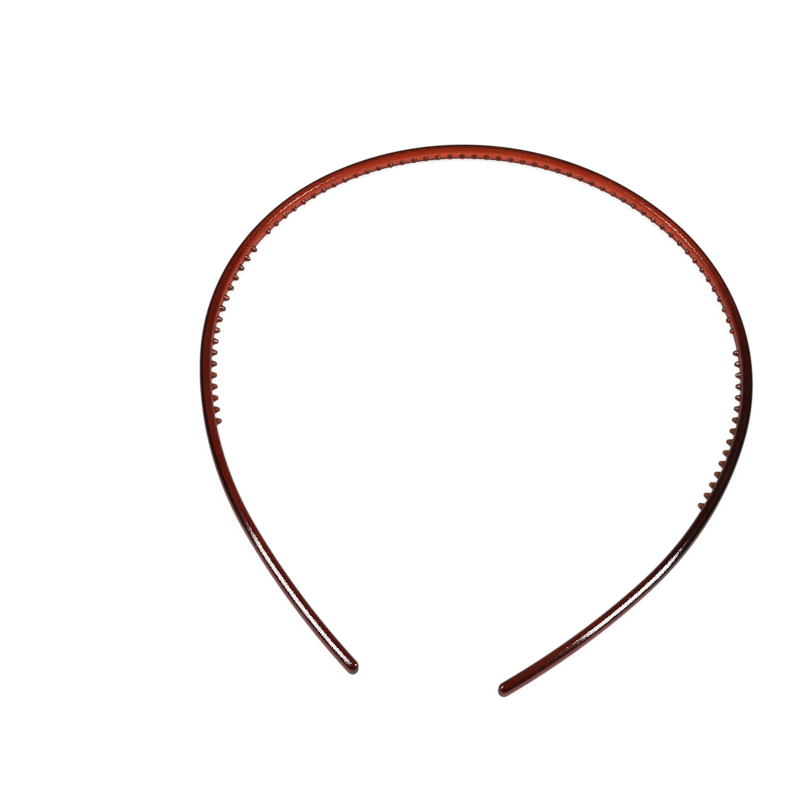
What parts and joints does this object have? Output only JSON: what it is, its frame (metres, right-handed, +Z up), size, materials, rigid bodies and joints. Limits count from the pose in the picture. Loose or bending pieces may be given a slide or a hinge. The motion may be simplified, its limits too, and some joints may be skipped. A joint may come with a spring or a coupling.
{
  "type": "headband",
  "caption": "Thin springy C-shaped headband with a rounded strip, small comb teeth along its inner face and smooth rounded ends.",
  "frame": {"origin": "under the middle of the band, on the surface that it rests on when it lies flat", "axes": "+Y towards the crown, +X towards the right arm, +Z up across the band's width"},
  "size_m": [0.125, 0.1362, 0.0037],
  "materials": {
    "tortoise_plastic": "polished translucent red-brown plastic"
  },
  "bodies": {
    "left_half": {"band_left": "tortoise_plastic", "side_teeth_left": "tortoise_plastic", "crown_teeth_left": "tortoise_plastic"},
    "right_half": {"band_right": "tortoise_plastic", "side_teeth_right": "tortoise_plastic", "crown_teeth_right": "tortoise_plastic"}
  },
  "joints": [
    {"name": "spread", "type": "hinge", "parent": "left_half", "child": "right_half", "pos_m": [0.00187, 0.06812, 0.00185], "axis": [0, 0, 1], "range_deg": [0, 40], "stiffness_Nm_per_rad": 0.12}
  ]
}
